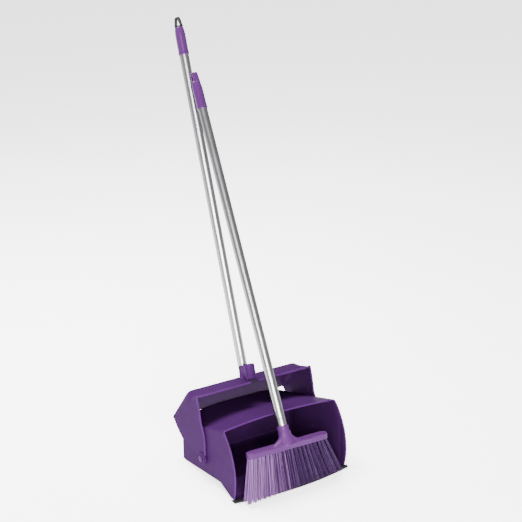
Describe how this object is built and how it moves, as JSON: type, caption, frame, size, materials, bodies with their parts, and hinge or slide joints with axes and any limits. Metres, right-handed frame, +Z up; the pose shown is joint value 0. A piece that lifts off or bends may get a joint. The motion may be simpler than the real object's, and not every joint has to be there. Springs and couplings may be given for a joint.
{
  "type": "dust pan and brush set",
  "caption": "Upright dust pan with a swinging cover on a long handle, a rubber lip and a clip, with a long-handled broom standing at its mouth.",
  "frame": {"origin": "middle of the flat rest band under the back of the pan, on the floor", "axes": "+Z up from the floor, the pan opens towards -Y, +X across the pan to its right seen from the front"},
  "size_m": [0.357, 0.5742, 1.1031],
  "materials": {
    "purple": "moulded purple polypropylene, semi-matt",
    "rubber": "black rubber",
    "loop": "black plastic",
    "tube": "satin anodised tube",
    "steel": "plain steel",
    "bristle": "purple synthetic bristle"
  },
  "bodies": {
    "handle_and_cover": {"yoke_cover": "purple", "pivot_pin_left": "purple", "pivot_pin_right": "purple", "handle_tube": "tube", "handle_rivet": "steel", "handle_grip": "purple", "handle_hang_loop": "loop"},
    "pan": {"pan_bin": "purple", "pan_lip": "rubber"},
    "broom": {"broom_head": "purple", "broom_tube": "tube", "broom_rivet": "steel", "broom_grip": "purple", "tuft_front_01": "bristle", "tuft_front_02": "bristle", "tuft_front_03": "bristle", "tuft_front_04": "bristle", "tuft_front_05": "bristle", "tuft_front_06": "bristle", "tuft_front_07": "bristle", "tuft_front_08": "bristle", "tuft_front_09": "bristle", "tuft_front_10": "bristle", "tuft_front_11": "bristle", "tuft_front_12": "bristle", "tuft_front_13": "bristle", "tuft_front_14": "bristle", "tuft_front_15": "bristle", "tuft_front_16": "bristle", "tuft_front_17": "bristle", "tuft_front_18": "bristle", "tuft_front_19": "bristle", "tuft_front_20": "bristle", "tuft_back_01": "bristle", "tuft_back_02": "bristle", "tuft_back_03": "bristle", "tuft_back_04": "bristle", "tuft_back_05": "bristle", "tuft_back_06": "bristle", "tuft_back_07": "bristle", "tuft_back_08": "bristle", "tuft_back_09": "bristle", "tuft_back_10": "bristle", "tuft_back_11": "bristle", "tuft_back_12": "bristle", "tuft_back_13": "bristle", "tuft_back_14": "bristle", "tuft_back_15": "bristle", "tuft_back_16": "bristle", "tuft_back_17": "bristle", "tuft_back_18": "bristle", "tuft_back_19": "bristle", "tuft_back_20": "bristle"}
  },
  "joints": [
    {"name": "pan_swing", "type": "hinge", "parent": "handle_and_cover", "child": "pan", "pos_m": [0, -0.11, 0.056], "axis": [-1, 0, 0], "range_deg": [0, 112]},
    {"name": "broom_lift", "type": "slide", "parent": "handle_and_cover", "child": "broom", "axis": [0, 0, 1], "range_m": [0, 0.375]}
  ],
  "couplings": [
    {"joint": "broom_lift", "follows": "pan_swing", "m_per_rad": 0.19}
  ]
}
